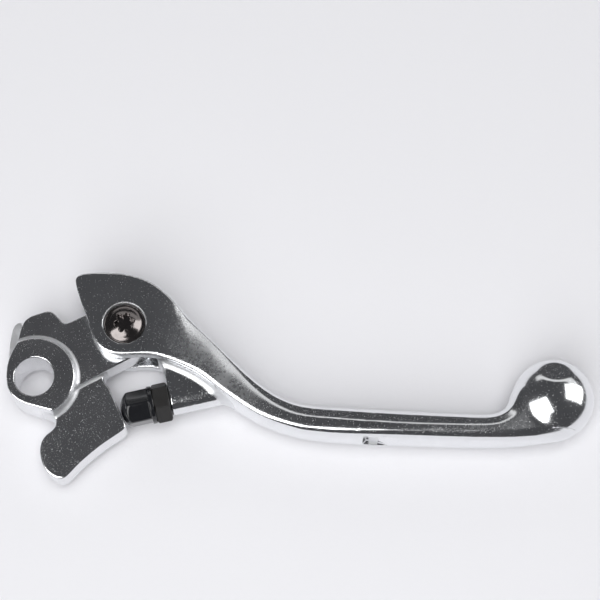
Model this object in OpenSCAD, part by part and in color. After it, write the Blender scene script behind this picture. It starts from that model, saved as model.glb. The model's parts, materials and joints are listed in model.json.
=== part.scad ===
// Front brake lever of an off-road motorcycle, with a folding-reach knuckle joint.
// Frame: the knuckle's pivot bore is on Z through the origin, z = 0 is the forging's
// mid-plane, and +X runs along the blade towards the ball end. Millimetres.

/* [Knuckle] */
// Radius of the bore that turns on the handlebar perch's bolt
bore_r = 5.5; // [5:0.1:6]
// Half of the thickness of the boss around that bore
boss_half = 6.25; // [5.5:0.25:7]
// Outer radius of the boss
boss_r = 11.2; // [10.5:0.1:12]
// Half of the thickness of the tongue between the blade's cheeks
tongue_half = 4; // [3.5:0.1:4.2]
// Radius of the tongue's end around the blade pivot
tongue_r = 8.6; // [8:0.1:9]
// Upper face of the push leg above the mid-plane
leg_top = 2.7; // [1:0.1:3.5]
// Lower face of the push leg below the mid-plane
leg_low = 5.1; // [4:0.1:6]

/* [Blade] */
// Half of the thickness of the blade's head
head_half = 8.25; // [8:0.05:8.5]
// Half of the width of the slot for the tongue
slot_half = 4.6; // [4.5:0.05:4.7]
// Radius of the slot's round end around the blade pivot
slot_r = 9.2; // [9:0.1:9.5]
// Thickness of the web that closes the slot under the head's upper edge
web_wall = 3.2; // [2.5:0.1:3.5]
// Half of the blade's height at the ball end of the grip
grip_half = 7; // [6:0.1:7.5]
// Radius of the ball end in the plane of the blade
ball_r = 11.3; // [10:0.1:12]
// Half of the ball end's thickness
ball_half = 9.6; // [9:0.1:10]
// Depth of the break notch in the grip's lower side
notch_depth = 1.5; // [0.8:0.1:2]
// Half of that notch's height
notch_half = 4.4; // [4:0.1:5]

/* [Pivot hardware] */
// Radius of the pivot screw's shoulder
shoulder_r = 3.97; // [3.94:0.01:3.99]
// Radius of the bore in the bush, and of the hole in the upper cheek
shoulder_hole_r = 4.03; // [4.01:0.01:4.06]
// Outer radius of the bush that is pressed into the tongue
bush_r = 5; // [4.8:0.1:5.2]
// Radius of the pivot screw's head
screw_head_r = 5.6; // [5.4:0.05:5.7]
// Radius of the dome on that head
screw_dome_r = 7.7; // [7.5:0.1:9]
// Radius of the counterbore around the head
counterbore_r = 5.85; // [5.8:0.05:6.1]
// Chamfer at the counterbore's mouth
mouth_chamfer = 0.35; // [0.2:0.05:0.5]
// Radius of the M6 threads
thread_r = 2.95; // [2.9:0.01:2.98]
// Radius of the M6 holes that take them
thread_hole_r = 3; // [3:0.01:3.05]
// Thickness of each thrust washer
washer_t = 0.5; // [0.4:0.05:0.5]
// Outer radius of the thrust washers
washer_r = 7; // [6.5:0.1:7.5]
// Width across flats of both M6 nuts
hex_af = 10; // [9.8:0.1:10.2]

/* [Adjuster] */
// Slope of the adjuster's axis against X, in degrees
adj_slope = 13; // [12:0.5:14]
// Distance of the dome's tip from the lug's face
adj_reach = 13.9; // [13.5:0.05:14]
// Width across flats of the adjuster's head
head_af = 9; // [8.5:0.1:9.2]
// Radius of the adjuster's domed nose
dome_r = 6.5; // [6:0.1:7]
// Radius of the collar under the adjuster's head
collar_r = 5.3; // [5:0.1:5.5]
// Thickness of that collar
collar_t = 1.2; // [1:0.1:1.5]
// Thickness of the lock nut
adj_nut_t = 4.4; // [4:0.1:4.6]
// Outer radius of the lug around the adjuster's thread
lug_r = 4.2; // [4:0.1:4.4]
// Length of the thread inside the lug
adj_thread_in = 10; // [8:0.5:11]

/* [Return spring] */
// Radius of the spring's wire
wire_r = 0.3; // [0.25:0.05:0.35]
// Mean radius of the spring's coils
coil_r = 1.8; // [1.6:0.1:1.9]
// Number of coils
coils = 7; // [5:1:9]

/* [Hidden] */

ROUND = 96;      // facets of the round features
GAP = 0.05;      // gap between parts that turn on each other
CUT = 1;         // how far a cutting tool passes its face
pivot = [24.6, 14.9];          // blade pivot
lug_face = [37.2, -5.3];       // where the adjuster's axis leaves the lug
ball = [143.9, -5];            // centre of the ball end
lug_length = 13;               // how far the round lug runs into the blade
lug_hole = 11.5;               // depth of its M6 hole
head_edge = 29.8;              // the head's upper edge over the slot
cheek_seat = 6.65;             // floor of the counterbore above the mid-plane
screw_top = 9.15;              // top of the screw's domed head
nut_pocket = 2.2;              // depth of the pocket for the pivot's lock nut
nut_low = 9.4;                 // lowest face of that nut, below the mid-plane
lobe_at = 2.5;                 // distance of the socket's lobes from the screw's axis
lobe_r = 0.85;                 // radius of a lobe
socket_depth = 2;              // depth of the socket
insert_t = 0.8;                // height of the nylon insert
insert_r = 4.2;                // its outer radius
spring_x = 17.2;               // spring's axis, parallel to Y
spring_y = [17.5, 27.6];       // floors of its two pockets
pocket_r = 2.3;                // radius of those pockets
hex_r = hex_af / sqrt(3);      // corner radius of the M6 hexagons
hex_play = 0.15;               // play of the nut in its hexagonal pocket
head_turn = -2;                // turn of the adjuster's head about its axis, in degrees
nut_turn = 32;                 // turn of the lock nut about the same axis

// Points along a circular arc from angle a to angle b
function arc(c, r, a, b, n = 12) =
    [for (i = [0:n]) c + r * [cos(a + (b - a) * i / n), sin(a + (b - a) * i / n)]];

// Hermite blend between two values with given slopes, for t from 0 to 1
function hermite(p, q, dp, dq, t) =
    let (t2 = t * t, t3 = t2 * t)
    (2 * t3 - 3 * t2 + 1) * p + (t3 - 2 * t2 + t) * dp + (3 * t2 - 2 * t3) * q + (t3 - t2) * dq;

// Smooth value at x through a list of [x, value] knots
function slope_at(k, i) =
    let (a = k[max(i - 1, 0)], b = k[min(i + 1, len(k) - 1)]) (b[1] - a[1]) / (b[0] - a[0]);
function through(k, x, i = 0) =
    i >= len(k) - 2 || x <= k[i + 1][0]
        ? let (w = k[i + 1][0] - k[i][0])
            hermite(k[i][1], k[i + 1][1], slope_at(k, i) * w, slope_at(k, i + 1) * w,
                (x - k[i][0]) / w)
        : through(k, x, i + 1);

// Smooth closed or open curve through points, n steps a span
function span(p, i, t) =
    let (a = p[max(i - 1, 0)], b = p[i], c = p[i + 1], d = p[min(i + 2, len(p) - 1)])
    hermite(b, c, (c - a) / 2, (d - b) / 2, t);
function curve(p, n = 5) =
    [for (i = [0:len(p) - 2], s = [0:n - 1]) span(p, i, s / n), p[len(p) - 1]];

// ---- outlines ----
head_top = [[11.2, 28.9], [14.6, 29.7], [18.8, 30], [25, 29.5], [31.4, 27.3], [37.1, 22.9],
    [42.8, 16.7]];
head_low = [[42.8, 1.9], [37.6, 4.3], [32, 5.8], [24, 5.7], [21, 6.1], [18.4, 7.6], [16.7, 9.9],
    [15.2, 12.8], [14.4, 16], [12.1, 21.6], [10.5, 27.4]];
tab_edge = [[8.6, 16.4], [7.6, 16.2], [6.8, 16.6], [5, 18.8], [3.8, 19.7], [2.4, 19.9],
    [-2, 18.4], [-3.8, 17], [-4.8, 14.4], [-5.4, 11]];
leg_edge = [[18, 4], [18.9, 0], [20.6, -2.5], [21.77, -5], [24.1, -10], [25.41, -12.8],
    [25.1, -13.9], [24, -14.9], [18.6, -18.8], [13.2, -23.6], [9.9, -27.2], [8.4, -28.1],
    [6.2, -27.6], [4, -25.9], [2.6, -23.2], [2, -20.3], [2.2, -18], [3.2, -16], [5.2, -14.2],
    [6, -12.9], [5.8, -11], [3, -7]];
pad_edge = [[-5, 17.2], [-6.4, 17], [-7.3, 15.6], [-7.8, 13], [-8, 10], [-7.6, 6], [-4, 6]];

boss_edge = [[-7.7, 3], [-7.75, 0], [-7.3, -3], [-6.1, -5.2], [-4.3, -6.8], [-2, -7.9], [5.2, -10.1],
    [14, -13], [14, 14], [-5.2, 14], [-5.2, 9.6], [-6.3, 7.6], [-7.2, 5.3]];

// ---- the blade's grip: sections across X from the head to the ball ----
grip_up = [[34, 23], [42.8, 16.2], [50, 9.7], [56.6, 3.7], [62.2, -1], [67.5, -4.4],
    [73.4, -6.5], [84.5, -7.6], [104, -8.5], [126, -9.5], [129, -8.6], [131.5, -6.2], [133.2, -1.6]];
grip_down = [[34, 5.4], [42.8, 2], [51, -4], [57, -8.2], [62.4, -11.4], [67.5, -13.6],
    [73.4, -15.4], [84.5, -16.7], [101, -17.5], [120.6, -18], [129, -17.9], [134, -17.4]];
grip_high = [[34, 8.2], [40, 8.1], [48, 7.2], [56, 6.2], [64, 5.9], [76, 6], [90, 6.5], [104, 6.9],
    [134, grip_half]];
ball_from = 134;               // where the sections start to follow the ball
ball_rings = 14;
low_edge = -17.2;              // the grip's lower edge where it meets the ball
grip_rings = [34, 38, 42, 46, 50, 54, 58, 62, 66, 70, 75, 81, 88, 96, 104, 112, 120, 125, 128,
    130, 131.5, 132.6, 133.4];

function ball_x(i) =
    let (a0 = acos((ball_from - ball[0]) / ball_r)) ball[0] + ball_r * cos(a0 * (1 - i / ball_rings));
function ball_y(x) = sqrt(max(ball_r * ball_r - (x - ball[0]) * (x - ball[0]), 0.0009));
stations = concat(
    [for (x = grip_rings) [x, through(grip_up, x), through(grip_down, x), through(grip_high, x)]],
    [for (i = [0:ball_rings]) let (x = ball_x(i), h = ball_y(x), s = min(1, i / 5))
        [x, ball[1] + h, (1 - s) * min(low_edge, ball[1] - h) + s * (ball[1] - h),
            max(grip_half * (1 - s), h * ball_half / ball_r)]]);

SIDES = 20;
// Rounded D-shaped section: a flat-backed superellipse
function section_point(st, j) =
    let (a = 360 * (j + 0.5) / SIDES, p = st[0] > ball_from ? 1 : 0.72,
        c = cos(a), s = sin(a),
        cy = (st[1] + st[2]) / 2, ry = (st[1] - st[2]) / 2)
    [st[0], cy + ry * sign(c) * pow(abs(c), p), st[3] * sign(s) * pow(abs(s), p)];

// ---- modules ----
module plate(points, low, high) {
    translate([0, 0, low]) linear_extrude(high - low) polygon(points);
}

module disc(c, r, low, high) {
    translate([c[0], c[1], low]) cylinder(r = r, h = high - low, $fn = ROUND);
}

// Puts children with local +Z along the adjuster, from the lug's face towards the leg
module along_adjuster(s = 0) {
    translate([lug_face[0], lug_face[1], 0]) rotate([0, 0, adj_slope]) translate([-s, 0, 0])
        rotate([0, -90, 0]) children();
}

module grip() {
    rings = len(stations);
    polyhedron(
        points = [for (st = stations, j = [0:SIDES - 1]) section_point(st, j)],
        faces = concat(
            [[for (j = [0:SIDES - 1]) j]],
            [[for (j = [SIDES - 1:-1:0]) (rings - 1) * SIDES + j]],
            [for (i = [0:rings - 2], j = [0:SIDES - 1]) let (k = (j + 1) % SIDES)
                [i * SIDES + j, (i + 1) * SIDES + j, i * SIDES + k]],
            [for (i = [0:rings - 2], j = [0:SIDES - 1]) let (k = (j + 1) % SIDES)
                [i * SIDES + k, (i + 1) * SIDES + j, (i + 1) * SIDES + k]]));
}

// Space between the cheeks, open to the left and below
module tongue_slot() {
    far = pivot[0] + slot_r;
    web = head_edge - web_wall;
    plate(concat(
            [[far, pivot[1]], [far, -10], [0, -10], [0, web], [20, web]],
            arc(pivot, slot_r + 0.2, 95, 0)),
        -slot_half, slot_half);
}

module lug() {
    along_adjuster(-lug_length) cylinder(r = lug_r, h = lug_length, $fn = ROUND);
    plate([[36.3, 5], [36, -0.1], [37.2, -5.3], [49.5, -2.5], [50, 2], [42, 6]], -lug_r, lug_r);
}

module break_notch() {
    left = 90.4;
    deepest = 91.8;
    right = 98.8;
    translate([0, -17, 0]) linear_extrude(2 * notch_half, center = true)
        polygon([[left - 1, -1], [deepest, notch_depth], [right + 4, -1]]);
}

module lever_blade() color([0.78, 0.78, 0.8]) difference() {
    union() {
        plate(concat(curve(head_top), curve(head_low)), -head_half, head_half);
        grip();
        lug();
    }
    tongue_slot();
    disc(pivot, shoulder_hole_r, 0, head_half + CUT);
    disc(pivot, counterbore_r, cheek_seat, head_half + CUT);
    translate([pivot[0], pivot[1], head_half - 2 * mouth_chamfer])
        cylinder(r1 = counterbore_r - mouth_chamfer, r2 = counterbore_r + 2 * mouth_chamfer,
            h = 3 * mouth_chamfer, $fn = ROUND);
    disc(pivot, thread_hole_r, -head_half - CUT, 0);
    translate([pivot[0], pivot[1], -head_half - CUT])
        cylinder(r = hex_r + hex_play, h = nut_pocket + CUT, $fn = 6);
    along_adjuster(-lug_hole) cylinder(r = thread_hole_r, h = lug_hole + CUT, $fn = ROUND);
    translate([spring_x, 20, 0]) rotate([-90, 0, 0])
        cylinder(r = pocket_r, h = spring_y[1] - 20, $fn = ROUND);
    break_notch();
}

module knuckle() color([0.74, 0.74, 0.76]) difference() {
    union() {
        intersection() {
            disc([0, 0], boss_r, -boss_half, boss_half);
            plate(boss_edge, -boss_half - CUT, boss_half + CUT);
        }
        plate(concat(
                [[-5.4, 8], [0, 0], [9, -3.4]],
                arc(pivot, tongue_r, -61, 115, 24),
                curve(tab_edge)),
            -tongue_half, tongue_half);
        plate(curve(leg_edge, 3), -leg_low, leg_top);
        plate(curve(pad_edge, 3), -tongue_half, 1);
    }
    disc([0, 0], bore_r, -boss_half - CUT, boss_half + CUT);
    disc(pivot, bush_r, -tongue_half - CUT, tongue_half + CUT);
    translate([spring_x, spring_y[0], 0]) rotate([-90, 0, 0])
        cylinder(r = pocket_r, h = 8, $fn = ROUND);
}

module ring(r_in, r_out, low, high) {
    difference() {
        disc(pivot, r_out, low, high);
        disc(pivot, r_in, low - CUT, high + CUT);
    }
}

module pivot_bush() color([0.72, 0.55, 0.3]) ring(shoulder_hole_r, bush_r, -tongue_half, tongue_half);

module upper_thrust_washer() color([0.6, 0.6, 0.62])
    ring(shoulder_hole_r, washer_r, tongue_half + GAP, tongue_half + GAP + washer_t);

module lower_thrust_washer() color([0.6, 0.6, 0.62])
    ring(shoulder_hole_r, washer_r, -tongue_half - GAP - washer_t, -tongue_half - GAP);

// Six-lobed socket for the driver
module lobe_socket(depth) {
    translate([0, 0, -depth]) {
        cylinder(r = lobe_at, h = depth + CUT, $fn = ROUND);
        for (i = [0:5]) rotate([0, 0, 60 * i + 10]) translate([lobe_at, 0, 0])
            cylinder(r = lobe_r, h = depth + CUT, $fn = 32);
    }
}

module pivot_screw() color([0.08, 0.08, 0.09]) translate([pivot[0], pivot[1], 0]) difference() {
    rotate_extrude($fn = ROUND) polygon(concat(
        [[0, -nut_low], [thread_r, -nut_low], [thread_r, -slot_half], [shoulder_r, -slot_half],
            [shoulder_r, cheek_seat], [screw_head_r, cheek_seat]],
        [for (i = [8:-1:0]) let (a = asin(screw_head_r / screw_dome_r) * i / 8)
            [screw_dome_r * sin(a), screw_top - screw_dome_r * (1 - cos(a))]]));
    translate([0, 0, screw_top]) lobe_socket(socket_depth);
}

module pivot_lock_nut() color([0.16, 0.16, 0.17]) translate([pivot[0], pivot[1], -nut_low]) {
    top = nut_low - head_half + nut_pocket;
    difference() {
        cylinder(r = hex_r, h = top, $fn = 6);
        translate([0, 0, -CUT]) cylinder(r = thread_hole_r, h = top + 2 * CUT, $fn = ROUND);
        translate([0, 0, -CUT]) cylinder(r = insert_r, h = insert_t + CUT, $fn = ROUND);
    }
}

module lock_nut_insert() color([0.15, 0.3, 0.6])
    ring(thread_hole_r, insert_r, -nut_low, -nut_low + insert_t);

// Hexagonal head with a domed nose and a collar, on an M6 thread
module adjuster_bolt() color([0.05, 0.05, 0.06]) {
    head_from = adj_nut_t + 2 * GAP;
    dome_at = adj_reach - head_from - dome_r;
    along_adjuster(head_from) {
        intersection() {
            rotate([0, 0, head_turn])
                cylinder(r = head_af / sqrt(3), h = adj_reach - head_from + CUT, $fn = 6);
            rotate_extrude($fn = ROUND) polygon(concat([[0, 0], [dome_r, 0]],
                [for (i = [0:12]) let (a = 7.5 * i)
                    [i < 12 ? dome_r * cos(a) : 0, dome_at + dome_r * sin(a)]]));
        }
        cylinder(r = collar_r, h = collar_t, $fn = ROUND);
    }
    along_adjuster(-adj_thread_in)
        cylinder(r = thread_r, h = adj_thread_in + head_from + 0.5, $fn = ROUND);
}

module adjuster_lock_nut() color([0.12, 0.12, 0.13]) along_adjuster(GAP) difference() {
    rotate([0, 0, nut_turn]) cylinder(r = hex_r, h = adj_nut_t, $fn = 6);
    translate([0, 0, -CUT]) cylinder(r = thread_hole_r, h = adj_nut_t + 2 * CUT, $fn = ROUND);
}

// Compression spring that holds the dome against the push leg
module return_spring() color([0.5, 0.5, 0.52]) {
    steps = 12 * coils;
    low = spring_y[0] + wire_r + GAP;
    rise = spring_y[1] - wire_r - GAP - low;
    sides = 6;
    polyhedron(
        points = [for (i = [0:steps], j = [0:sides - 1])
            let (a = 360 * coils * i / steps, b = 360 * j / sides, r = coil_r + wire_r * cos(b))
            [spring_x + r * cos(a), low + rise * i / steps + wire_r * sin(b), r * sin(a)]],
        faces = concat(
            [[for (j = [0:sides - 1]) j]],
            [[for (j = [sides - 1:-1:0]) steps * sides + j]],
            [for (i = [0:steps - 1], j = [0:sides - 1]) let (k = (j + 1) % sides)
                [i * sides + j, (i + 1) * sides + j, i * sides + k]],
            [for (i = [0:steps - 1], j = [0:sides - 1]) let (k = (j + 1) % sides)
                [i * sides + k, (i + 1) * sides + j, (i + 1) * sides + k]]));
}

lever_blade();
knuckle();
pivot_bush();
pivot_screw();
pivot_lock_nut();
lock_nut_insert();
upper_thrust_washer();
lower_thrust_washer();
adjuster_bolt();
adjuster_lock_nut();
return_spring();
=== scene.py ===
"""Looks of the off-road motorcycle's brake lever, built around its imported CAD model."""

import json
import math

import bpy
import numpy as np
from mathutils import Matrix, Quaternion, Vector


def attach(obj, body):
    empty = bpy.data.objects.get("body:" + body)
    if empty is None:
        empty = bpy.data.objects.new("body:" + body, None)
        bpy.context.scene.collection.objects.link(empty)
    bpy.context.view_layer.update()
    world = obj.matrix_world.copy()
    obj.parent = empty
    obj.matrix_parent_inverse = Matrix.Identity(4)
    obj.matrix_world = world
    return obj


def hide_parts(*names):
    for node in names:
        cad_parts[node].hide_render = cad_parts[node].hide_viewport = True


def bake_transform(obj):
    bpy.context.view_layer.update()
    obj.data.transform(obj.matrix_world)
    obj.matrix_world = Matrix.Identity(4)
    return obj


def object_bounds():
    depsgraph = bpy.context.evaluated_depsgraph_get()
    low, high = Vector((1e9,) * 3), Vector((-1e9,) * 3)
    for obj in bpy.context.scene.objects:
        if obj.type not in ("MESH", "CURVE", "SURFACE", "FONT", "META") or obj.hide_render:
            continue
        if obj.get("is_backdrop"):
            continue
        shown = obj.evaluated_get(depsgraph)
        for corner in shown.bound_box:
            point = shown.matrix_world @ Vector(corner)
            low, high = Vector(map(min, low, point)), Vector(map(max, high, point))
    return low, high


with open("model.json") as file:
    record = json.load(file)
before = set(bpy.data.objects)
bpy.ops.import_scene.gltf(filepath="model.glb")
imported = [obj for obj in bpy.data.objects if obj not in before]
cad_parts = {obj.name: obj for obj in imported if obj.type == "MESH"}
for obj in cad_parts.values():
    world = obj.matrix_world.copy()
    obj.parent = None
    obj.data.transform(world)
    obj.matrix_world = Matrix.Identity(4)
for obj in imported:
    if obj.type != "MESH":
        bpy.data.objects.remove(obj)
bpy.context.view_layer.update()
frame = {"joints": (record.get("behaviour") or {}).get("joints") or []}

MM = 0.001
COARSE = 1.0      # cells grow by this while things are tried out

# ---- sizes repeated from the CAD source, in millimetres ----
JOINTS = {j["name"]: j for j in frame["joints"]}
PIVOT = np.array(JOINTS["reach_pivot"]["pos_m"][:2]) / MM
LUG_FACE = np.array(JOINTS["lock_nut_spin"]["pos_m"][:2]) / MM
ALONG = np.array(JOINTS["lock_nut_spin"]["axis"][:2])
BORE_R = 5.5
BOSS_HALF = 6.25
BOSS_R = 11.2
TONGUE_HALF = 4.0
TONGUE_R = 8.6
LEG_TOP = 2.7
LEG_LOW = 5.1
HEAD_HALF = 8.25
SLOT_HALF = 4.6
SLOT_R = 9.2
BALL = (143.9, -5.0)
BALL_R = 11.3
BALL_HALF = 9.6
SHOULDER_R = 3.97
SHOULDER_HOLE_R = 4.03
BUSH_R = 5.0
SCREW_HEAD_R = 5.6
SCREW_DOME_R = 7.7
COUNTERBORE_R = 5.85
CHEEK_SEAT = 6.65
SCREW_TOP = 9.15
THREAD_HOLE_R = 3.0
WASHER_R = 7.0
WASHER_T = 0.5
HEX_AF = 10.0
HEAD_AF = 9.0
HEAD_TURN = -2.0
NUT_TURN = 32.0
NUT_POCKET = 2.2
NUT_LOW = 9.4
INSERT_T = 0.8
INSERT_R = 4.2
ADJ_REACH = 13.9
ADJ_NUT_T = 4.4
ADJ_THREAD_IN = 10.0
DOME_R = 6.5
COLLAR_R = 5.3
COLLAR_T = 1.2
LUG_R = 4.2
SPRING_X = 17.2
SPRING_Y = (17.5, 27.6)
POCKET_R = 2.3
WIRE_R = 0.3
COIL_R = 1.8
COILS = 7
GAP = 0.05
LUG_HOLE = 11.5
SOCKET_DEPTH = 2.0

# ---- sizes that only the looks have, in millimetres ----
MOUTH_WIDE = 0.08              # chamfer at the counterbore's mouth
MOUTH_SHIFT = (0.08, -0.18)    # that chamfer's centre, from the screw's axis
SCREW_RIM = 7.5                # the screw head's rim, raised so that the head fills the mouth
LOBE_AT = 2.15                 # the socket's six lobes
LOBE_R = 0.72
LOBE_TURN = 10
THREAD_R = 2.97                # crest of the cut threads
THREAD_PITCH = 1.0
HEX_PLAY = 0.13                # room round the nut in its pocket
STEP_HEIGHT = 0.045            # fine step across the arm's top, above the notch
BLADE_CELL = 0.52              # grid cells of the meshes
KNUCKLE_CELL = 0.32
TURNED_CELL = 0.14
SMALL_CELL = 0.13


# ---- shape tools: a solid is where its distance function is negative ----
def smooth_max(a, b, r):
    """Intersection of two solids whose common edge is rounded with radius r."""
    inner = np.minimum(np.maximum(a + r, b + r), 0)
    return inner + np.hypot(np.maximum(a + r, 0), np.maximum(b + r, 0)) - r


def smooth_min(a, b, r):
    """Union of two solids with a fillet of radius r between them."""
    return -smooth_max(-a, -b, r)


def soft_max(a, b, k):
    """Intersection of two faces that meet at a shallow angle, blended over k."""
    h = np.maximum(k - np.abs(a - b), 0) / k
    return np.maximum(a, b) + 0.25 * k * h * h


def ramp(*knots):
    """Monotone smooth curve through (x, value) knots, level beyond both ends."""
    x, v = (np.array(c, float) for c in zip(*knots))
    w = np.diff(x)
    d = np.diff(v) / w
    m = np.zeros(len(x))
    for i in range(1, len(x) - 1):
        if d[i - 1] * d[i] > 0:
            m[i] = 2 * d[i - 1] * d[i] / (d[i - 1] + d[i])

    def at(q):
        i = np.clip(np.searchsorted(x, q) - 1, 0, len(x) - 2)
        t = np.clip((q - x[i]) / w[i], 0, 1)
        t2, t3 = t * t, t * t * t
        return ((2 * t3 - 3 * t2 + 1) * v[i] + (t3 - 2 * t2 + t) * w[i] * m[i]
                + (3 * t2 - 2 * t3) * v[i + 1] + (t3 - t2) * w[i] * m[i + 1])
    return at


def arc(centre, r, a, b, n):
    """Points along a circle from angle a to angle b, in degrees."""
    t = np.radians(np.linspace(a, b, n))
    return [(centre[0] + r * math.cos(q), centre[1] + r * math.sin(q)) for q in t]


def smooth_loop(points, blur, step=0.3, curved=True):
    """Closed outline through the points, evenly spaced, with its corners softened over blur."""
    p = np.array(points, float)
    if curved:
        q, n = [], len(p)
        for i in range(n):
            a, b, c, d = p[i - 1], p[i], p[(i + 1) % n], p[(i + 2) % n]
            reach = np.linalg.norm(c - b)
            m0 = (c - a) / max(np.linalg.norm(c - a), 1e-9) * reach
            m1 = (d - b) / max(np.linalg.norm(d - b), 1e-9) * reach
            for t in np.linspace(0, 1, 12, endpoint=False):
                t2, t3 = t * t, t * t * t
                q.append((2 * t3 - 3 * t2 + 1) * b + (t3 - 2 * t2 + t) * m0
                         + (3 * t2 - 2 * t3) * c + (t3 - t2) * m1)
        p = np.array(q)
    closed = np.vstack([p, p[:1]])
    run = np.concatenate([[0], np.cumsum(np.linalg.norm(np.diff(closed, axis=0), axis=1))])
    count = int(run[-1] / step)
    s = np.linspace(0, run[-1], count, endpoint=False)
    even = np.stack([np.interp(s, run, closed[:, 0]), np.interp(s, run, closed[:, 1])], 1)
    f = np.fft.rfftfreq(count, run[-1] / count)
    low = np.exp(-2 * (math.pi * f * blur) ** 2)[:, None]
    return np.fft.irfft(np.fft.rfft(even, axis=0) * low, count, axis=0)


class Outline:
    """Signed distance to a closed outline, kept in a table and read with cubic interpolation."""

    def __init__(self, loop, margin=5.0, step=0.3):
        self.step = step
        self.low = loop.min(0) - margin
        self.size = np.ceil((loop.max(0) + margin - self.low) / step).astype(int) + 1
        x = self.low[0] + step * np.arange(self.size[0])
        y = self.low[1] + step * np.arange(self.size[1])
        a, b = loop.astype(np.float32), np.roll(loop, -1, 0).astype(np.float32)
        e = b - a
        ee = (e * e).sum(1)
        table = np.empty(self.size)
        for j, row in enumerate(y):
            dx = x[:, None].astype(np.float32) - a[:, 0]
            dy = np.float32(row) - a[:, 1]
            t = np.clip((dx * e[:, 0] + dy * e[:, 1]) / ee, 0, 1)
            near = ((dx - t * e[:, 0]) ** 2 + (dy - t * e[:, 1]) ** 2).min(1)
            hit = (a[:, 1] > row) != (b[:, 1] > row)
            at = np.sort(a[hit, 0] + (row - a[hit, 1]) / e[hit, 1] * e[hit, 0])
            inside = np.searchsorted(at, x) % 2 == 1
            table[:, j] = np.where(inside, -1, 1) * np.sqrt(near)
        self.table = table

    def __call__(self, x, y):
        gx = np.clip((x - self.low[0]) / self.step, 1.001, self.size[0] - 2.001)
        gy = np.clip((y - self.low[1]) / self.step, 1.001, self.size[1] - 2.001)
        i, j = gx.astype(int), gy.astype(int)
        u, v = gx - i, gy - j

        def weights(t):
            return (-0.5 * t + t * t - 0.5 * t ** 3, 1 - 2.5 * t * t + 1.5 * t ** 3,
                    0.5 * t + 2 * t * t - 1.5 * t ** 3, -0.5 * t * t + 0.5 * t ** 3)
        wx, wy = weights(u), weights(v)
        total = 0
        for p in range(4):
            for q in range(4):
                total = total + wx[p] * wy[q] * self.table[i + p - 1, j + q - 1]
        return total


def grid_line(low, high, cell, fine):
    """Places from low to high, cell apart, or less within the fine ranges (from, to, factor)."""
    places = [low - 1.5 * cell]
    while places[-1] < high + cell:
        factor = min([f for a, b, f in fine if a < places[-1] < b], default=1.0)
        places.append(places[-1] + cell * factor)
    return np.array(places)


PROJECT_STEPS = 3
PROJECT_REACH = 0.02      # half the span over which slopes are read while points move
NORMAL_REACH = 0.015      # the same for the final normals


def surface(value, low, high, cell, fine=((), (), ())):
    """Quads of value's zero surface, their points moved onto it, and its normals there."""
    cell *= COARSE
    lines = [grid_line(low[i], high[i], cell, fine[i]) for i in range(3)]
    n = [len(line) for line in lines]
    x, y, z = lines
    v = value(x[:, None, None], y[None, :, None], z[None, None, :]).astype(np.float32)
    inside = v < 0
    corners = [(i, j, k) for i in (0, 1) for j in (0, 1) for k in (0, 1)]
    part = [slice(0, -1), slice(1, None)]
    count = sum(inside[part[i], part[j], part[k]].astype(np.int8) for i, j, k in corners)
    active = (count > 0) & (count < 8)
    cells = np.argwhere(active)
    number = np.full(active.shape, -1)
    number[active] = np.arange(len(cells))
    total, hits = np.zeros((len(cells), 3)), np.zeros(len(cells))
    for a in corners:
        for axis in range(3):
            if a[axis]:
                continue
            b = list(a)
            b[axis] = 1
            va = v[tuple((cells + a).T)]
            vb = v[tuple((cells + b).T)]
            crossing = (va < 0) != (vb < 0)
            t = np.where(crossing, va / np.where(crossing, va - vb, 1), 0)
            total += np.where(crossing[:, None], np.array(a) + t[:, None] * (np.array(b) - a), 0)
            hits += crossing
    at = cells + total / hits[:, None]
    points = np.stack([np.interp(at[:, i], np.arange(n[i]), lines[i]) for i in range(3)], 1)
    faces = []
    for axis in range(3):
        u, w = (axis + 1) % 3, (axis + 2) % 3
        head, tail = [slice(None)] * 3, [slice(None)] * 3
        head[axis], tail[axis] = slice(1, None), slice(0, -1)
        edges = np.argwhere(inside[tuple(tail)] != inside[tuple(head)])
        edges = edges[(edges[:, u] > 0) & (edges[:, w] > 0)
                      & (edges[:, u] < n[u] - 1) & (edges[:, w] < n[w] - 1)]
        quad = []
        for du, dw in ((1, 1), (0, 1), (0, 0), (1, 0)):
            c = edges.copy()
            c[:, u] -= du
            c[:, w] -= dw
            quad.append(number[tuple(c.T)])
        quad = np.stack(quad, 1)
        solid = inside[tuple(edges.T)]
        faces.append(np.where(solid[:, None], quad, quad[:, ::-1]))
    faces = np.concatenate(faces)

    def gradient(p, e):
        g = [value(*(p + e * np.eye(3)[i]).T) - value(*(p - e * np.eye(3)[i]).T) for i in range(3)]
        return np.stack(g, 1) / (2 * e)
    for _ in range(PROJECT_STEPS):
        g = gradient(points, PROJECT_REACH)
        move = (value(*points.T) / np.maximum((g * g).sum(1), 0.2))[:, None] * g
        points = points - np.clip(move, -0.4 * cell, 0.4 * cell)
    normals = gradient(points, NORMAL_REACH)
    normals /= np.maximum(np.linalg.norm(normals, axis=1), 1e-9)[:, None]
    return points, faces, normals


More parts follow.
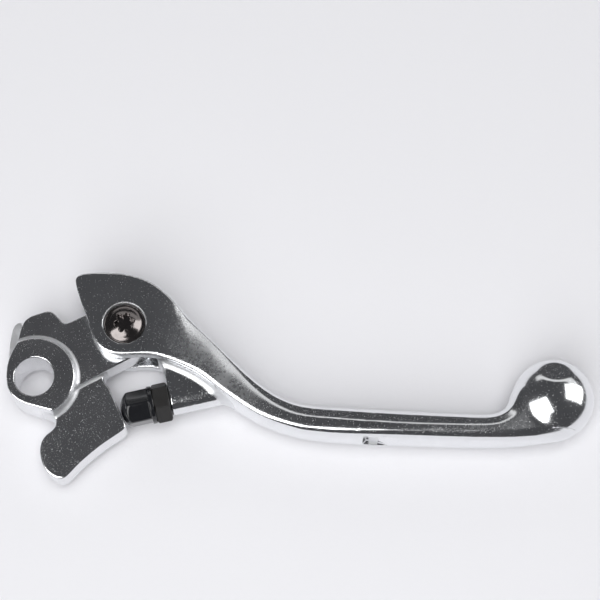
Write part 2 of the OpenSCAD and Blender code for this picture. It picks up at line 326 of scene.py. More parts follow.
def piece(name, points, faces, normals, look, body, nodes=(),
          turn=None, origin=(0, 0, 0), satin=None):
    """A shown mesh in the row frame, from points in millimetres in its own frame."""
    points, normals = np.asarray(points, float), None if normals is None else np.asarray(normals)
    if turn is not None:
        points = points @ turn.T + np.array(origin)
        normals = None if normals is None else normals @ turn.T
    mesh = bpy.data.meshes.new(name)
    if not isinstance(faces, list):
        faces = faces.tolist()
    mesh.from_pydata((points * MM).tolist(), [], faces)
    mesh.polygons.foreach_set("use_smooth", [True] * len(mesh.polygons))
    mesh.materials.append(look)
    mesh.update()
    if normals is not None:
        mesh.normals_split_custom_set_from_vertices(normals.tolist())
    if satin is not None:
        mesh.attributes.new("satin", "FLOAT", "POINT").data.foreach_set("value", satin)
    o = bpy.data.objects.new(name, mesh)
    bpy.context.scene.collection.objects.link(o)
    if body:
        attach(o, body)
    if nodes:
        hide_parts(*nodes)
    return o


# ---- materials ----
COAT_ROUGHNESS = 0.08


class Look:
    """A material whose roughness and relief come from procedural noise in object space."""

    def __init__(self, name, base, metallic, roughness, coat=0.0, specular=0.5):
        self.material = bpy.data.materials.new(name)
        self.material.use_nodes = True
        self.tree = self.material.node_tree
        self.shader = self.tree.nodes["Principled BSDF"]
        self.base = base
        s = self.shader.inputs
        s["Base Color"].default_value = (*base, 1)
        s["Metallic"].default_value = metallic
        s["Roughness"].default_value = roughness
        s["Coat Weight"].default_value = coat
        s["Coat Roughness"].default_value = COAT_ROUGHNESS
        s["Specular IOR Level"].default_value = specular
        self.where = self.add("ShaderNodeTexCoord").outputs["Object"]
        self.relief = None

    def add(self, kind, **values):
        node = self.tree.nodes.new(kind)
        for key, value in values.items():
            if hasattr(node, key):
                setattr(node, key, value)
        return node

    def join(self, a, b):
        self.tree.links.new(a, b)

    def placed(self, per_metre):
        """Object coordinates scaled so that a pattern has that many features per metre."""
        m = self.add("ShaderNodeMapping")
        m.inputs["Scale"].default_value = (per_metre,) * 3
        self.join(self.where, m.inputs["Vector"])
        return m.outputs["Vector"]

    def noise(self, per_metre, detail=3.0, rough=0.55):
        n = self.add("ShaderNodeTexNoise")
        n.inputs["Scale"].default_value = 1.0
        n.inputs["Detail"].default_value = detail
        n.inputs["Roughness"].default_value = rough
        self.join(self.placed(per_metre), n.inputs["Vector"])
        return n.outputs["Fac"]

    def mapped(self, value, a, b, low, high):
        m = self.add("ShaderNodeMapRange", clamp=True)
        for key, number in zip(("From Min", "From Max", "To Min", "To Max"), (a, b, low, high)):
            m.inputs[key].default_value = number
        self.join(value, m.inputs["Value"])
        return m.outputs["Result"]

    def math(self, kind, a, b):
        m = self.add("ShaderNodeMath", operation=kind)
        for i, q in enumerate((a, b)):
            if isinstance(q, (int, float)):
                m.inputs[i].default_value = q
            else:
                self.join(q, m.inputs[i])
        return m.outputs["Value"]

    def bump(self, height, distance, strength=1.0):
        """Relief whose full height is distance, in metres, on top of what is there already."""
        b = self.add("ShaderNodeBump")
        b.inputs["Strength"].default_value = strength
        b.inputs["Distance"].default_value = distance
        self.join(height, b.inputs["Height"])
        if self.relief is not None:
            self.join(self.relief, b.inputs["Normal"])
        self.relief = b.outputs["Normal"]
        self.join(self.relief, self.shader.inputs["Normal"])

    def specks(self, per_metre, radius, share):
        """Mask of small round marks: radius in cells, share of the cells that have one."""
        v = self.add("ShaderNodeTexVoronoi")
        v.inputs["Scale"].default_value = 1.0
        self.join(self.placed(per_metre), v.inputs["Vector"])
        mark = self.mapped(v.outputs["Distance"], radius * 0.45, radius, 1.0, 0.0)
        split = self.add("ShaderNodeSeparateColor")
        self.join(v.outputs["Color"], split.inputs["Color"])
        chosen = self.mapped(split.outputs[0], 1 - share, 1 - share + 0.02, 0.0, 1.0)
        return self.math("MULTIPLY", mark, chosen)

    def tint(self, value, dark, light):
        """Base colour between two multiples of the base, by value from 0 to 1."""
        r = self.add("ShaderNodeValToRGB")
        r.color_ramp.elements[0].color = (*[c * dark for c in self.base], 1)
        r.color_ramp.elements[1].color = (*[min(1.0, c * light) for c in self.base], 1)
        self.join(value, r.inputs["Fac"])
        self.join(r.outputs["Color"], self.shader.inputs["Base Color"])


def aluminium(name, rough_low, rough_high, grain, speck_share, tone):
    """Tumble-polished aluminium, left matt by the blasting where its satin attribute is 1.

    Noise and specks are given in features per metre, and grain is a height in metres."""
    look = Look(name, tone, 1.0, rough_low)
    cloud = look.noise(160, 4.0)
    mark = look.specks(1100, 0.17, speck_share)
    fine = look.specks(2600, 0.24, speck_share)
    base = look.mapped(cloud, 0.3, 0.7, rough_low, rough_high)
    marks = look.math("MULTIPLY", look.math("MAXIMUM", mark, fine), 0.2)
    mottle = look.mapped(look.noise(1300, 3.0), 0.35, 0.65, 0.26, 0.44)
    satin = look.add("ShaderNodeAttribute", attribute_name="satin").outputs["Fac"]
    matt = look.math("MULTIPLY", satin, mottle)
    roughness = look.math("ADD", look.math("ADD", base, marks), matt)
    look.join(roughness, look.shader.inputs["Roughness"])
    look.bump(look.noise(120, 2.0), grain * 2.5)
    look.bump(look.noise(1500, 3.0, 0.6), grain * 0.55)
    look.bump(look.math("MAXIMUM", mark, fine), 0.000013, 0.8)
    look.tint(look.noise(420, 5.0, 0.65), 0.9, 1.05)
    return look.material


POLISHED = aluminium("polished_aluminium", 0.11, 0.17, 0.000012, 0.46, (0.86, 0.87, 0.885))
FORGED = aluminium("forged_aluminium", 0.14, 0.21, 0.000016, 0.36, (0.84, 0.845, 0.86))


def dark_metal(name, base, rough_low, rough_high, grain, coat=0.0, metallic=0.0):
    """Blackened steel; the nylon is made the same way."""
    look = Look(name, base, metallic, rough_low, coat=coat)
    look.join(look.mapped(look.noise(700, 4.0), 0.3, 0.7, rough_low, rough_high),
              look.shader.inputs["Roughness"])
    look.bump(look.noise(2600, 3.0), grain)
    look.tint(look.noise(500, 4.0), 0.8, 1.25)
    return look.material


SCREW_BLACK = dark_metal("screw_black", (0.2, 0.182, 0.178), 0.13, 0.19, 0.000012, metallic=1.0)
NUT_BLACK = dark_metal("nut_black", (0.011, 0.0105, 0.0103), 0.42, 0.55, 0.00004)
GLOSS_BLACK = dark_metal("gloss_black", (0.008, 0.0085, 0.01), 0.1, 0.17, 0.00001, 0.35)


def bright_metal(name, base, rough_low, rough_high, grain):
    """Bare turned or drawn metal."""
    look = Look(name, base, 1.0, rough_low)
    look.join(look.mapped(look.noise(900, 3.0), 0.3, 0.7, rough_low, rough_high),
              look.shader.inputs["Roughness"])
    look.bump(look.noise(2200, 2.0), grain)
    look.tint(look.noise(600, 4.0), 0.85, 1.1)
    return look.material


BRONZE = bright_metal("bronze", (0.66, 0.44, 0.21), 0.28, 0.4, 0.00002)
WASHER = bright_metal("washer_steel", (0.62, 0.61, 0.6), 0.25, 0.38, 0.00002)
SPRING = bright_metal("spring_steel", (0.5, 0.5, 0.52), 0.2, 0.3, 0.00001)
NYLON = dark_metal("nylon", (0.03, 0.09, 0.3), 0.4, 0.5, 0.00001)

# ---- the blade ----
BLADE_UP = [(11.2, 28.9), (14.6, 29.7), (18.8, 30), (25, 29.5), (31.4, 27.3), (37.1, 22.9),
            (42.8, 16.7), (50, 9.7), (56.6, 3.5), (62.2, -1.3), (67.5, -4.75), (73.4, -6.95),
            (84.5, -8.05), (104, -9.2), (116, -9.8), (123, -10.1), (127, -9.8), (129.5, -8.7),
            (131.7, -6.8), (133.6, -4.6), (136, -2.6), (139, -1), (143, -0.4), (146.5, -1.4),
            (148.6, -4)]
BLADE_LOW = [(149, -8), (147.4, -12.2), (144.4, -15.2), (140.5, -16.9), (134, -17.7),
             (129, -17.9), (120.6, -17.9), (101, -17.3), (84.5, -16.6), (76, -15.75),
             (73.4, -15.3), (67.5, -13.5), (62.4, -11.4), (57, -8.2), (51, -4), (45.9, 0),
             (42.8, 1.9), (37.6, 4.3), (32, 5.8), (24, 5.7), (21, 6.1), (18.4, 7.6), (16.7, 9.9),
             (15.2, 12.8), (14.4, 16), (12.1, 21.6), (10.5, 27.4)]
FAR_BELOW = [(156, -8), (158, -40), (0, -40), (2, 20)]
blade_edge = Outline(smooth_loop(BLADE_UP + BLADE_LOW, 0.45))
# distance from the finger side alone, as if the blade had no lower edge
finger_edge = Outline(smooth_loop(BLADE_UP + FAR_BELOW, 0.45, 0.5), step=0.5)
upper_line = ramp(*[p for p in BLADE_UP if p[0] < 128])
lower_line = ramp(*sorted([p for p in BLADE_LOW if 30 < p[0] < 141]))
half_height = ramp((38, HEAD_HALF), (48, 7.5), (56, 6.5), (64, 6.05), (76, 6.1), (88, 6.6),
                   (102, 7.0), (122, 7.0), (134, 6.6), (140, 6.0), (146, 4.5), (151, 3.0))
low_fillet = ramp((14, 0.3), (18, 0.5), (22, 0.8), (38, 0.9), (46, 1.3), (60, 1.3), (70, 1.5),
                  (76, 1.8), (87, 2.0), (101, 2.3), (120, 2.4), (138, 3.2), (148, 4.6))
up_fillet = ramp((14, 0.4), (20, 0.8), (38, 0.8), (50, 0.7), (60, 1.0), (68, 1.2), (76, 1.4),
                 (88, 1.6), (101, 1.8))
ball_blend = ramp((132, 4.0), (137, 1.5), (142, 2.2), (148, 4.0))
low_bulge = ramp((36, 0.0), (56, 0.012))
facet_wide = ramp((32, -7.0), (40, 2.2), (45, 4.4), (50, 4.1), (54, 3.9), (60, 4.0), (68, 4.15),
                  (76, 4.2), (88, 4.4), (101, 4.6), (115, 4.35), (124, 4.1))
facet_soft = ramp((40, 1.0), (50, 0.6), (60, 0.3), (76, 0.15))
lit_wide = ramp((40, 2.0), (45, 3.9), (50, 3.4), (54, 2.7), (60, 1.8), (68, 1.0), (76, 0.5),
                (88, 0.35))
sheen = ramp((30, 0.0), (42, 0.4), (56, 0.42), (64, 0.25), (76, 0.08), (96, 0.05), (110, 0.3),
             (134, 0.3), (139, 0.0))
LIT_TURN = math.radians(19)
DARK_TURN = math.radians(31)
BALL_FLAT = (0.545, 0.839, 9.4)      # slope across, slope up, and distance of the ball's flat
STEP_AT = (90.7, -13.6)              # a point on the fine step across the top
LUG_END = 17.5
LUG_TALL = 12.5
SLOT_TO = (20.5, 26.6)               # how far the slot reaches into the head
CHAMFER = (0.766, 0.643)             # slope across and slope up of the mouth's chamfer
NOTCH = (91.8, -15.5)                # where the notch's two sides meet
NOTCH_LEFT = (-0.742, 0.67)          # slopes of those sides
NOTCH_RIGHT = (0.2, 0.98)
NOTCH_TOP = 4.4
NOTCH_BOTTOM = -4.5
NOTCH_EDGE = -17.2
NOTCH_BLASTED = (92.3, 95.2)         # from and to, along the arm
WALL_BLASTED_TO = 36
WALL_MATT = 0.6


def blade_value(x, y, z, blend=1.0):
    """Distance to the blade; blend 0 leaves the lug's inner corner sharp.

    The last number in each smooth_max and smooth_min is that edge's rounding."""
    d = blade_edge(x, y)
    a = np.abs(z)
    # a fine step across the top, above the notch
    across = (x - STEP_AT[0]) * 0.77 - (y - STEP_AT[1]) * 0.64
    half = half_height(x) + STEP_HEIGHT * np.clip(across / 0.4 + 0.5, 0, 1)
    middle = 0.35 * upper_line(x) + 0.65 * lower_line(x)
    low_side = np.clip(middle - y + 0.5, 0, 1)
    wall = d + low_side * low_bulge(x) * a * a
    lid = a - half
    # finger side: a narrow facet that catches the light, then a steeper one
    wide, lit = facet_wide(x), lit_wide(x)
    inward = finger_edge(x, y)
    facet = lid * math.cos(LIT_TURN) + (inward + wide) * math.sin(LIT_TURN)
    steep = ((lid + lit * math.tan(LIT_TURN)) * math.cos(DARK_TURN)
             + (inward + wide - lit) * math.sin(DARK_TURN))
    top = soft_max(soft_max(lid, facet, facet_soft(x)), steep, 0.12)
    edge = np.where(low_side > 0.5, low_fillet(x), up_fillet(x))
    f = smooth_max(wall, top, edge)
    # ball end, with a flat on its finger side
    bx, by = (x - BALL[0]), (y - BALL[1])
    k0 = np.sqrt((bx * bx + by * by) / BALL_R ** 2 + z * z / BALL_HALF ** 2)
    k1 = np.sqrt((bx * bx + by * by) / BALL_R ** 4 + z * z / BALL_HALF ** 4)
    ball = k0 * (k0 - 1) / np.maximum(k1, 1e-6)
    ball = soft_max(ball, by * BALL_FLAT[0] + a * BALL_FLAT[1] - BALL_FLAT[2], 0.3)
    f = smooth_min(f, ball, ball_blend(x))
    # lug for the adjuster
    s = (x - LUG_FACE[0]) * ALONG[0] + (y - LUG_FACE[1]) * ALONG[1]
    n = -(x - LUG_FACE[0]) * ALONG[1] + (y - LUG_FACE[1]) * ALONG[0]
    ring = np.where(n < 0, np.hypot(n, z), a) - LUG_R
    end = np.maximum(s - LUG_END, (n - LUG_TALL + 0.45 * s) * 0.91)
    lug = smooth_max(smooth_max(ring, -s, 0.5), end, 0.6)
    f = smooth_min(f, lug, 2.0 * blend + 1e-4)
    # space for the tongue
    corner = smooth_max(x - PIVOT[0] - SLOT_R, y - PIVOT[1] - SLOT_R, SLOT_R)
    slot = smooth_min(np.maximum(x - SLOT_TO[0], y - SLOT_TO[1]), corner, 0.8)
    f = smooth_max(f, -smooth_max(slot, a - SLOT_HALF, 0.5), 0.3)
    # bores
    r = np.hypot(x - PIVOT[0], y - PIVOT[1])
    f = smooth_max(f, -np.maximum(r - SHOULDER_HOLE_R, -z), 0.15)
    # the mouth's chamfer runs a little out of centre, widest towards the lower edge
    cone = (np.hypot(x - PIVOT[0] - MOUTH_SHIFT[0], y - PIVOT[1] - MOUTH_SHIFT[1])
            - COUNTERBORE_R - MOUTH_WIDE)
    mouth = np.minimum(r - COUNTERBORE_R, cone * CHAMFER[0] + (HEAD_HALF - z) * CHAMFER[1])
    f = smooth_max(f, -np.maximum(mouth, CHEEK_SEAT - z), 0.08)
    f = smooth_max(f, -np.maximum(r - THREAD_HOLE_R, z), 0.15)
    hexed = hexagon(x - PIVOT[0], y - PIVOT[1], HEX_AF / 2 + HEX_PLAY, 0.0, 0.25)
    f = smooth_max(f, -np.maximum(hexed, z + HEAD_HALF - NUT_POCKET), 0.25)
    f = smooth_max(f, -np.maximum(np.hypot(n, z) - THREAD_HOLE_R, s - LUG_HOLE), 0.3)
    pocket = np.maximum(np.hypot(x - SPRING_X, z) - POCKET_R, y - SPRING_Y[1])
    f = smooth_max(f, -np.maximum(pocket, 20 - y), 0.1)
    return smooth_max(f, -notch_value(x, y, z), 0.15)


def notch_value(x, y, z):
    """Distance to the notch in the lower edge."""
    left = (x - NOTCH[0]) * NOTCH_LEFT[0] + (y - NOTCH[1]) * NOTCH_LEFT[1]
    right = (x - NOTCH[0]) * NOTCH_RIGHT[0] + (y - NOTCH[1]) * NOTCH_RIGHT[1]
    slant = 0.5 * (y - NOTCH_EDGE) + NOTCH_BOTTOM - z
    ledge = np.maximum(z - NOTCH_TOP, slant * 0.894)
    return np.maximum(smooth_max(smooth_max(left, right, 0.2), ledge, 0.3), y + 12)


def hexagon(x, y, half, turn, edge):
    """Distance to a hexagon whose flats are half away, its first corner at turn degrees."""
    flats = []
    for i in range(3):
        q = math.radians(turn + 30 + 60 * i)
        flats.append(np.abs(x * math.cos(q) + y * math.sin(q)) - half)
    return smooth_max(smooth_max(flats[0], flats[1], edge), flats[2], edge)


def polish_left(x, y, z):
    """How matt the blade is: inner corners, the notch's floor and the counterbore's upper edge
    fully, the head's walls and the arm's top less."""
    corner = np.clip(blade_value(x, y, z, 0.0) / 0.08, 0, 1)
    notch = np.clip(1.5 - np.abs(notch_value(x, y, z)) / 0.1, 0, 1)
    notch *= (np.clip((x - NOTCH_BLASTED[0]) / 0.4, 0, 1)
              * np.clip((NOTCH_BLASTED[1] - x) / 0.5, 0, 1))
    ridge = half_height(x) - lit_wide(x) * math.tan(LIT_TURN)
    top = sheen(x) * np.clip((z - ridge) / 0.2 + 0.5, 0, 1)
    r = np.hypot(x - PIVOT[0], y - PIVOT[1])
    mouth = (np.abs(r - COUNTERBORE_R - 0.1) < 0.25) * (z > CHEEK_SEAT)
    mouth = mouth * np.clip((y - PIVOT[1]) / 2 + 1, 0, 1)
    corner = np.maximum(corner, mouth)
    wall = WALL_MATT * np.clip(blade_edge(x, y) / 0.3 + 1.5, 0, 1)
    wall *= (x < WALL_BLASTED_TO) * (np.abs(z) < HEAD_HALF - 0.7)
    return np.maximum(np.maximum(corner, notch), np.maximum(top, wall))


# the cells are finer round the counterbore and at the notch's steep side
points, faces, normals = surface(
    blade_value, (8, -22, -10), (156, 31, 10), BLADE_CELL,
    ([(18.2, 31, 0.36), (89.8, 92.6, 0.4)], [(8.5, 21.3, 0.36)], [(7.4, 8.5, 0.4)]))
piece("blade", points, faces, normals, POLISHED, "blade", ["lever_blade"],
      satin=polish_left(*points.T))

# ---- the knuckle ----
TAB = [(8.6, 16.4), (7.6, 16.2), (6.8, 16.6), (5, 18.8), (3.8, 19.7), (2.4, 19.9), (-2, 18.4),
       (-3.8, 17), (-4.8, 14.4), (-5.4, 11)]
LEG = [(18, 4), (18.9, 0), (20.6, -2.5), (21.77, -5), (24.1, -10), (25.41, -12.8), (25.1, -13.9),
       (24, -14.9), (18.6, -18.8), (13.2, -23.6), (9.9, -27.2), (8.4, -28.1), (6.2, -27.6),
       (4, -25.9), (2.6, -23.2), (2, -20.3), (2.2, -18), (3.2, -16), (5.2, -14.2), (6, -12.9),
       (5.8, -11), (3, -7)]
PAD = [(-5, 17.2), (-6.4, 17), (-7.3, 15.6), (-7.8, 13), (-8, 10), (-7.6, 6), (-4, 6)]
TONGUE = [(-5.4, 8), (0, 0), (9, -3.4)] + arc(PIVOT, TONGUE_R, -61, 115, 24) + TAB
tongue_edge = Outline(smooth_loop(TONGUE, 0.45, curved=False))
leg_edge = Outline(smooth_loop(LEG, 0.35))
pad_edge = Outline(smooth_loop(PAD, 0.35))
BOSS = (arc((0, 0), BOSS_R, -62, 117, 40)
        + [(-6.3, 7.6), (-7.2, 5.3), (-7.7, 3), (-7.75, 0), (-7.3, -3), (-6.1, -5.2), (-4.3, -6.8),
           (-2, -7.9)])
boss_edge = Outline(smooth_loop(BOSS, 0.3, curved=False))
PAD_TOP = 1
LEG_FILLET = 1.2
PAD_FILLET = 0.5
BOSS_FILLET = 1.7


def knuckle_value(x, y, z, blend=1.0):
    """Distance to the knuckle; blend 0 leaves its inner corners sharp."""
    a = np.abs(z)
    blend += 1e-4
    boss = smooth_max(boss_edge(x, y), a - BOSS_HALF, 0.45)
    plate = smooth_max(tongue_edge(x, y), a - TONGUE_HALF, 0.4)
    leg_slab = np.abs(z - (LEG_TOP - LEG_LOW) / 2) - (LEG_TOP + LEG_LOW) / 2
    leg = smooth_max(leg_edge(x, y), leg_slab, 0.55)
    pad_slab = np.abs(z + (TONGUE_HALF - PAD_TOP) / 2) - (TONGUE_HALF + PAD_TOP) / 2
    pad = smooth_max(pad_edge(x, y), pad_slab, 0.35)
    f = smooth_min(plate, leg, LEG_FILLET * blend)
    f = smooth_min(f, pad, PAD_FILLET * blend)
    f = smooth_min(f, boss, BOSS_FILLET * blend)
    f = smooth_max(f, BORE_R - np.hypot(x, y), 0.2)
    f = smooth_max(f, BUSH_R - np.hypot(x - PIVOT[0], y - PIVOT[1]), 0.1)
    pocket = np.maximum(np.hypot(x - SPRING_X, z) - POCKET_R, SPRING_Y[0] - y)
    return smooth_max(f, -pocket, 0.15)


def matt(x, y, z):
    """Where blasting shows: the inner corners and the pad beside the tab."""
    corner = knuckle_value(x, y, z, 0.0) / 0.08
    pad = (-4.6 - x + 0.2 * (y - 12)) * (y > 6) * (z < 1.5) * 2
    return np.clip(np.maximum(corner, pad), 0, 1)


points, faces, normals = surface(knuckle_value, (-9, -29, -7), (34, 25, 7), KNUCKLE_CELL)
piece("knuckle_forging", points, faces, normals, FORGED, "knuckle", ["knuckle"],
      satin=matt(*points.T))


# ---- pivot hardware ----
def disc(r, radius, z, low, high, edge):
    """Distance to a turned disc with rounded edges."""
    return smooth_max(r - radius, np.maximum(z - high, low - z), edge)


def thread(x, y, s):
    """Distance to a right-hand thread along s."""
    turn = s / THREAD_PITCH - np.arctan2(y, x) / (2 * math.pi)
    ridge = 2 * np.abs(turn - np.floor(turn) - 0.5)
    return (np.hypot(x, y) - THREAD_R + 0.55 * np.clip(ridge - 0.06, 0, 0.9)) * 0.75


def screw_value(x, y, z):
    """Distance to the pivot screw, about its own axis."""
    r = np.hypot(x, y)
    dome = np.hypot(r, np.maximum(z - SCREW_TOP + SCREW_DOME_R, 0)) - SCREW_DOME_R
    rim = np.maximum(dome - 5, z - SCREW_RIM)
    head = smooth_max(smooth_min(dome, rim, 0.4), r - SCREW_HEAD_R, 0.2)
    head = smooth_max(head, CHEEK_SEAT - z, 0.15)
    shoulder = disc(r, SHOULDER_R, z, -SLOT_HALF, CHEEK_SEAT + 0.5, 0.25)
    shank_ends = np.maximum(z + SLOT_HALF - 0.5, -NUT_LOW - z)
    shank = smooth_max(thread(x, y, z), shank_ends, 0.3)
    f = np.minimum(smooth_min(head, shoulder, 0.2), shank)
    lobes = r - 1.95
    for i in range(6):
        q = math.radians(60 * i + LOBE_TURN)
        lobe = np.hypot(x - LOBE_AT * math.cos(q), y - LOBE_AT * math.sin(q)) - LOBE_R
        lobes = smooth_min(lobes, lobe, 0.35)
    socket = smooth_max(lobes, SCREW_TOP - SOCKET_DEPTH - z, 0.15)
    return smooth_max(f, -socket, 0.16)


AT_PIVOT = (PIVOT[0], PIVOT[1], 0)
UPRIGHT = np.eye(3)
points, faces, normals = surface(screw_value, (-5.8, -5.8, -9.45), (5.8, 5.8, 9.2), SMALL_CELL)
piece("pivot_screw_shown", points, faces, normals, SCREW_BLACK, "blade",
      ["pivot_screw"], UPRIGHT, AT_PIVOT)


def nut_value(x, y, z, low, high, insert=0.0):
    """Distance to a nut from low to high, with a recess for an insert of that thickness."""
    r = np.hypot(x, y)
    f = hexagon(x, y, HEX_AF / 2, 0.0, 0.15)
    for side, face in ((1, high), (-1, low)):
        cone = (r - HEX_AF / 2 + 0.1) * 0.5 + side * (z - face) * 0.866
        f = smooth_max(f, cone, 0.1)
    f = smooth_max(f, np.maximum(z - high, low - z), 0.1)
    f = smooth_max(f, THREAD_HOLE_R - r, 0.12)
    if insert:
        f = smooth_max(f, -np.maximum(r - INSERT_R, z - low - insert), 0.1)
    return f


NUT_TOP = -HEAD_HALF + NUT_POCKET
points, faces, normals = surface(
    lambda x, y, z: nut_value(x, y, z, -NUT_LOW, NUT_TOP, INSERT_T),
    (-5.9, -5.9, -9.5), (5.9, 5.9, -5.9), SMALL_CELL)
piece("pivot_nut_shown", points, faces, normals, NUT_BLACK, "blade",
      ["pivot_lock_nut"], UPRIGHT, AT_PIVOT)


def ring_piece(name, inner, outer, low, high, edge, look, body, node):
    """A plain turned ring about the pivot screw's axis."""
    def value(x, y, z):
        r = np.hypot(x, y)
        return smooth_max(disc(r, outer, z, low, high, edge), inner - r, edge)
    p, f, n = surface(value, (-outer, -outer, low), (outer, outer, high), TURNED_CELL)
    piece(name, p, f, n, look, body, [node], UPRIGHT, AT_PIVOT)


ring_piece("nylon_ring", THREAD_HOLE_R, INSERT_R, -NUT_LOW, -NUT_LOW + INSERT_T, 0.15, NYLON,
           "blade", "lock_nut_insert")
ring_piece("bush", SHOULDER_HOLE_R, BUSH_R, -TONGUE_HALF, TONGUE_HALF, 0.15, BRONZE,
           "knuckle", "pivot_bush")
WASHER_IN = TONGUE_HALF + GAP
WASHER_OUT = TONGUE_HALF + GAP + WASHER_T
ring_piece("washer_upper", SHOULDER_HOLE_R, WASHER_R, WASHER_IN, WASHER_OUT, 0.1, WASHER,
           "blade", "upper_thrust_washer")
ring_piece("washer_lower", SHOULDER_HOLE_R, WASHER_R, -WASHER_OUT, -WASHER_IN, 0.1, WASHER,
           "blade", "lower_thrust_washer")

# ---- adjuster: local z runs from the lug's face towards the leg ----
OUT = np.array([-ALONG[0], -ALONG[1], 0])
ACROSS = np.array([0.0, 0.0, 1.0])
SIDE = np.cross(OUT, ACROSS)
ADJUSTER_FRAME = np.stack([ACROSS, SIDE, OUT], 1)
AT_LUG = (LUG_FACE[0], LUG_FACE[1], 0)
HEAD_FROM = ADJ_NUT_T + 2 * GAP


def bolt_value(x, y, z):
    """Distance to the adjuster's bolt: domed hexagonal head, collar and thread."""
    r = np.hypot(x, y)
    dome = np.sqrt(r * r + np.maximum(z - ADJ_REACH + DOME_R, 0) ** 2) - DOME_R
    f = hexagon(x, y, HEAD_AF / 2, HEAD_TURN, 0.45)
    f = smooth_max(f, dome, 0.3)
    f = smooth_max(f, HEAD_FROM - z, 0.15)
    collar = disc(r, COLLAR_R, z, HEAD_FROM, HEAD_FROM + COLLAR_T, 0.25)
    f = smooth_min(f, collar, 0.3)
    shank_ends = np.maximum(-ADJ_THREAD_IN - z, z - HEAD_FROM - 0.5)
    shank = smooth_max(thread(x, y, z), shank_ends, 0.2)
    return np.minimum(f, shank)


points, faces, normals = surface(bolt_value, (-6, -6, -10.1), (6, 6, 14), TURNED_CELL)
piece("adjuster_bolt_shown", points, faces, normals, GLOSS_BLACK, "adjuster",
      ["adjuster_bolt"], ADJUSTER_FRAME, AT_LUG)

TURN = math.radians(NUT_TURN)


def turned_nut(x, y, z):
    """Distance to the adjuster's lock nut, as it is turned at rest."""
    u = x * math.cos(TURN) + y * math.sin(TURN)
    v = -x * math.sin(TURN) + y * math.cos(TURN)
    return nut_value(u, v, z, GAP, GAP + ADJ_NUT_T)


points, faces, normals = surface(turned_nut, (-5.9, -5.9, 0), (5.9, 5.9, 4.5), SMALL_CELL)
piece("adjuster_nut_shown", points, faces, normals, NUT_BLACK, "lock_nut",
      ["adjuster_lock_nut"], ADJUSTER_FRAME, AT_LUG)


# ---- return spring ----
def spring():
    """Points and faces of the coil, whose last turns lie nearly flat."""
    steps, sides = 32 * COILS, 12
    low = SPRING_Y[0] + WIRE_R + GAP
    rise = SPRING_Y[1] - WIRE_R - GAP - low
    t = np.linspace(0, 1, steps + 1)
    climb = low + rise * ramp((0, 0), (0.09, 0.012), (0.5, 0.5), (0.91, 0.988), (1, 1))(t)
    q = 2 * math.pi * COILS * t
    rows = []
    b = 2 * math.pi * np.arange(sides) / sides
    r = COIL_R + WIRE_R * np.cos(b)
    for h, a in zip(climb, q):
        rows.append(np.stack([SPRING_X + r * math.cos(a), h + WIRE_R * np.sin(b),
                              r * math.sin(a)], 1))
    p = np.concatenate(rows)
    f = []
    for i in range(steps):
        this, after = i * sides, (i + 1) * sides
        for j in range(sides):
            k = (j + 1) % sides
            f.append((this + j, after + j, after + k, this + k))
    f += [tuple(range(sides)), tuple(steps * sides + j for j in range(sides - 1, -1, -1))]
    return p, f


points, faces = spring()
coil = piece("return_spring_shown", points, faces, None, SPRING, None)
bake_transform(coil)
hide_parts("return_spring")

# ---- floor, lights, camera: sizes in metres ----
FLOOR_R = 3.0
FLOOR_SIDES = 96
low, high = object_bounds()
ring = [(FLOOR_R * math.cos(a), FLOOR_R * math.sin(a), low.z)
        for a in np.linspace(0, 2 * math.pi, FLOOR_SIDES, endpoint=False)]
mesh = bpy.data.meshes.new("floor")
mesh.from_pydata(ring, [], [tuple(range(FLOOR_SIDES))])
paper = Look("paper", (0.82, 0.818, 0.845), 0.0, 0.85, specular=0.2)
paper.bump(paper.noise(900, 2.0), 0.00003)
mesh.materials.append(paper.material)
floor = bpy.data.objects.new("floor", mesh)
bpy.context.scene.collection.objects.link(floor)
floor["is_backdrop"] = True

AIM = Vector((0.075, 0.0, 0.0))


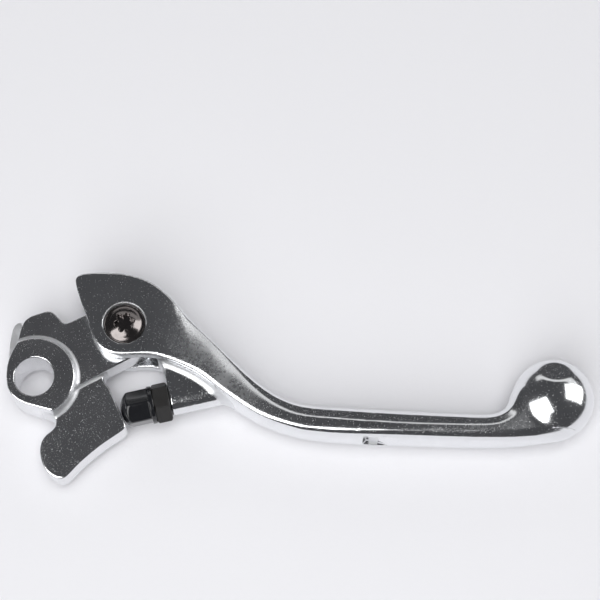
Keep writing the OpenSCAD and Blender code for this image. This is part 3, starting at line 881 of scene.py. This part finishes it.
def softbox(name, direction, distance, wide, tall, strength, roll=0.0, glossy=True, diffuse=True):
    """Rectangular light that faces AIM; its power is pi times strength for each square metre."""
    data = bpy.data.lights.new(name, "AREA")
    data.shape = "RECTANGLE"
    data.size = wide
    data.size_y = tall
    data.energy = strength * math.pi * wide * tall
    o = bpy.data.objects.new(name, data)
    bpy.context.scene.collection.objects.link(o)
    way = Vector(direction).normalized()
    o.location = AIM + way * distance
    o.rotation_mode = "QUATERNION"
    rolled = Quaternion((0, 0, 1), math.radians(roll))
    o.rotation_quaternion = way.to_track_quat("Z", "Y") @ rolled
    o.visible_glossy = glossy
    o.visible_diffuse = diffuse


# The metal mirrors softbox_left, softbox_right and softbox_far only; the other lights are for the paper.
softbox("softbox_left", (-0.5, -0.45, 0.74), 0.75, 0.6, 0.72, 3.2, -20, diffuse=False)
softbox("softbox_left_on_paper", (-0.5, -0.45, 0.74), 0.75, 0.6, 0.72, 2.1, -20, glossy=False)
softbox("softbox_right", (0.8, 0.2, 0.565), 0.8, 0.5, 0.66, 3.2, -15, diffuse=False)
softbox("softbox_far", (0.2, 0.83, 0.53), 1.0, 1.9, 0.34, 0.72)
softbox("overhead", (0.0, -0.12, 1.0), 1.8, 1.05, 1.05, 5.4, glossy=False)
softbox("front", (-0.25, -0.75, 0.8), 1.4, 1.3, 1.3, 2.5, glossy=False)

ROOM = (0.066, 0.067, 0.071, 1)
world = bpy.data.worlds.new("room")
world.use_nodes = True
background = world.node_tree.nodes["Background"]
background.inputs["Color"].default_value = ROOM
background.inputs["Strength"].default_value = 1.0
bpy.context.scene.world = world
bpy.context.scene.view_settings.view_transform = "Standard"

CAMERA_PLACE = (0.07341, -0.14487, 0.49167)
CAMERA_TILT = math.radians(19)
LENS = 110.04
camera_data = bpy.data.cameras.new("camera")
camera_data.lens = LENS
camera_data.sensor_width = 36
camera_data.clip_start = 0.01
camera = bpy.data.objects.new("camera", camera_data)
camera.location = CAMERA_PLACE
camera.rotation_euler = (CAMERA_TILT, 0, 0)
bpy.context.scene.collection.objects.link(camera)
bpy.context.scene.camera = camera

low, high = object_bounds()
